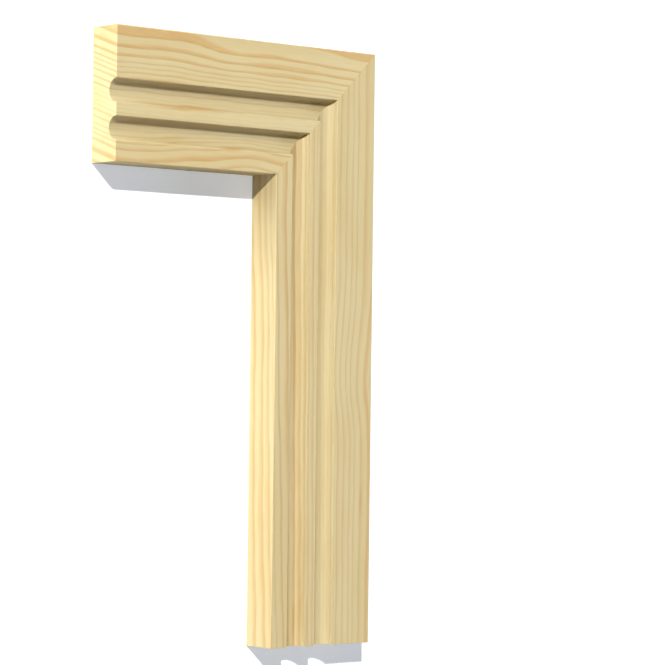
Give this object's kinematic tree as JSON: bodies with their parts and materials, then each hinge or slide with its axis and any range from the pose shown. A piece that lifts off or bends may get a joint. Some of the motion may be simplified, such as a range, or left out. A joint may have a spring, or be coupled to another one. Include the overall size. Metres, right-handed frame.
{
  "type": "architrave moulding",
  "caption": "Mitred corner of fluted pine architrave: an upright leg and a level head that trim the side and top of a door opening.",
  "frame": {"origin": "inside corner of the mitre on the back face, the corner of the door opening that the trim is set out from", "axes": "+Z out of the moulded face, +Y along the leg from its foot to the head, +X along the head from its square end to the mitre's heel"},
  "size_m": [0.175, 0.318, 0.02],
  "materials": {
    "pine": "planed and sanded bare softwood, unvarnished"
  },
  "bodies": {
    "root": {"architrave_leg": "pine", "architrave_head": "pine"}
  },
  "joints": []
}
